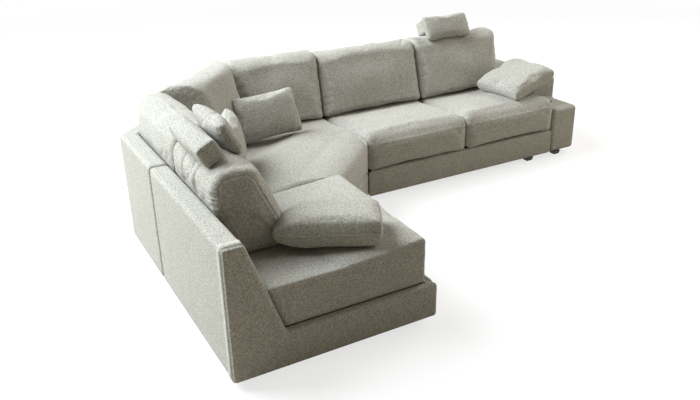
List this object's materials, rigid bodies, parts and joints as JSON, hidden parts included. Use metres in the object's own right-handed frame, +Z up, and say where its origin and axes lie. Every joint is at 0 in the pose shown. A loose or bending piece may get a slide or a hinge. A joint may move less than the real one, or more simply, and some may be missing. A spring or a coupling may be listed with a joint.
{
  "type": "corner sofa",
  "caption": "Upholstered corner sofa with a chamfered corner, loose seat and back cushions, lift-off headrests, throw pillows, and one stepped arm beside an open-ended short wing.",
  "frame": {"origin": "middle of the footprint's bounding box, on the floor", "axes": "+X along the long wing towards its arm, +Y towards the long wing's outer back, +Z up"},
  "size_m": [3.278, 2.41, 0.9927],
  "materials": {
    "tweed_fabric": "coarse melange weave, warm light grey",
    "pine_timber": "planed, bare",
    "elastic_webbing": "dark woven webbing",
    "black_plastic": "satin black",
    "zinc_steel": "zinc plated"
  },
  "bodies": {
    "frame": {"charger_shell": "black_plastic", "charger_socket": "black_plastic", "corner_back": "tweed_fabric", "corner_back_board_left": "pine_timber", "corner_back_board_middle": "pine_timber", "corner_back_board_right": "pine_timber", "corner_deck": "elastic_webbing", "corner_front_board": "tweed_fabric", "corner_left_board": "pine_timber", "corner_right_board": "pine_timber", "corner_seat": "tweed_fabric", "end_panel": "tweed_fabric", "foot_arm_front": "black_plastic", "foot_arm_rear": "black_plastic", "foot_corner_front": "black_plastic", "foot_corner_left": "black_plastic", "foot_corner_right": "black_plastic", "foot_left_front_1": "black_plastic", "foot_left_front_2": "black_plastic", "foot_left_rear_1": "black_plastic", "foot_left_rear_2": "black_plastic", "foot_right_front_1": "black_plastic", "foot_right_front_2": "black_plastic", "foot_right_rear_1": "black_plastic", "foot_right_rear_2": "black_plastic", "joining_plate_left": "zinc_steel", "joining_plate_right": "zinc_steel", "left_back": "tweed_fabric", "left_deck": "elastic_webbing", "left_end_board": "pine_timber", "left_front_board": "tweed_fabric", "left_joint_board": "pine_timber", "left_rear_board": "pine_timber", "right_arm": "tweed_fabric", "right_arm_board": "pine_timber", "right_back": "tweed_fabric", "right_deck_1": "elastic_webbing", "right_deck_2": "elastic_webbing", "right_front_board": "tweed_fabric", "right_joint_board": "pine_timber", "right_middle_board": "pine_timber", "right_rear_board": "pine_timber"},
    "seat_cushion_1": {"seat_1": "tweed_fabric"},
    "seat_cushion_2": {"seat_2": "tweed_fabric"},
    "left_seat_cushion": {"left_seat": "tweed_fabric"},
    "back_cushion_a": {"back_a": "tweed_fabric"},
    "back_cushion_b": {"back_b": "tweed_fabric"},
    "back_cushion_c": {"back_c": "tweed_fabric"},
    "corner_back_cushion": {"back_corner": "tweed_fabric"},
    "near_back_cushion": {"back_left_near": "tweed_fabric"},
    "far_back_cushion": {"back_left_far": "tweed_fabric"},
    "headrest_on_left": {"headrest_pillow_left": "tweed_fabric", "headrest_weight_left": "tweed_fabric"},
    "headrest_on_right": {"headrest_pillow_right": "tweed_fabric", "headrest_weight_right": "tweed_fabric"},
    "corner_throw": {"throw_pillow_corner": "tweed_fabric"},
    "side_throw": {"throw_pillow_side": "tweed_fabric"},
    "lying_throw": {"throw_pillow_left_seat": "tweed_fabric"},
    "arm_throw": {"throw_pillow_arm": "tweed_fabric"}
  },
  "joints": [
    {"name": "seat_1_pull", "type": "slide", "parent": "frame", "child": "seat_cushion_1", "axis": [0, -1, 0], "range_m": [0, 0.25]},
    {"name": "seat_2_pull", "type": "slide", "parent": "frame", "child": "seat_cushion_2", "axis": [0, -1, 0], "range_m": [0, 0.25]},
    {"name": "left_seat_pull", "type": "slide", "parent": "frame", "child": "left_seat_cushion", "axis": [1, 0, 0], "range_m": [0, 0.25]},
    {"name": "back_a_lift", "type": "slide", "parent": "frame", "child": "back_cushion_a", "axis": [0.1125, 0.3283, 0.9379], "range_m": [0, 0.2]},
    {"name": "back_b_lift", "type": "slide", "parent": "seat_cushion_1", "child": "back_cushion_b", "axis": [0.1125, 0.3283, 0.9379], "range_m": [0, 0.2]},
    {"name": "back_c_lift", "type": "slide", "parent": "seat_cushion_2", "child": "back_cushion_c", "axis": [0.1125, 0.3283, 0.9379], "range_m": [0, 0.2]},
    {"name": "corner_back_lift", "type": "slide", "parent": "frame", "child": "corner_back_cushion", "axis": [0, 0.2873, 0.9578], "range_m": [0, 0.2]},
    {"name": "near_back_lift", "type": "slide", "parent": "left_seat_cushion", "child": "near_back_cushion", "axis": [0, 0, 1], "range_m": [0, 0.2]},
    {"name": "far_back_lift", "type": "slide", "parent": "frame", "child": "far_back_cushion", "axis": [0, 0, 1], "range_m": [0, 0.2]},
    {"name": "left_headrest_lift", "type": "slide", "parent": "near_back_cushion", "child": "headrest_on_left", "axis": [0, 0, 1], "range_m": [0, 0.15]},
    {"name": "right_headrest_lift", "type": "slide", "parent": "back_cushion_c", "child": "headrest_on_right", "axis": [0, 0, 1], "range_m": [0, 0.15]},
    {"name": "corner_throw_lift", "type": "slide", "parent": "corner_back_cushion", "child": "corner_throw", "axis": [0, 0, 1], "range_m": [0, 0.15]},
    {"name": "side_throw_lift", "type": "slide", "parent": "far_back_cushion", "child": "side_throw", "axis": [0, 0, 1], "range_m": [0, 0.15]},
    {"name": "lying_throw_lift", "type": "slide", "parent": "near_back_cushion", "child": "lying_throw", "axis": [0, 0, 1], "range_m": [0, 0.15]},
    {"name": "arm_throw_lift", "type": "slide", "parent": "seat_cushion_2", "child": "arm_throw", "axis": [0, 0, 1], "range_m": [0, 0.15]}
  ]
}
